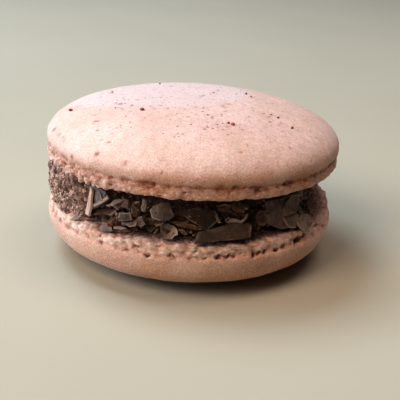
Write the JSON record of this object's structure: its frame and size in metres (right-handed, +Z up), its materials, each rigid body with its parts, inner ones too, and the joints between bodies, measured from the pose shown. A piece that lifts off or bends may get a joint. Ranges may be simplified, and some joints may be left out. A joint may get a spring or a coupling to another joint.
{
  "type": "french macaron",
  "caption": "Round almond sandwich biscuit: two smooth domed meringue shells with ruffled feet on a chocolate filling packed with thin curled flakes.",
  "frame": {"origin": "middle of the small flat spot under the lower dome, on the surface it rests on", "axes": "+Z up through the middle of both shells; -Y is the side that the picture shows, with the crumbled filling on its left"},
  "size_m": [0.048, 0.0481, 0.0245],
  "materials": {
    "top_shell": "baked almond meringue, matt, fine sandy grain, pale peach pink",
    "bottom_shell": "baked almond meringue, matt, fine sandy grain, pale peach pink, a little browner",
    "filling": "chocolate ganache with thin grey-brown chocolate flakes, satin"
  },
  "bodies": {
    "root": {"bottom_shell": "bottom_shell", "filling": "filling", "top_shell": "top_shell"}
  },
  "joints": []
}
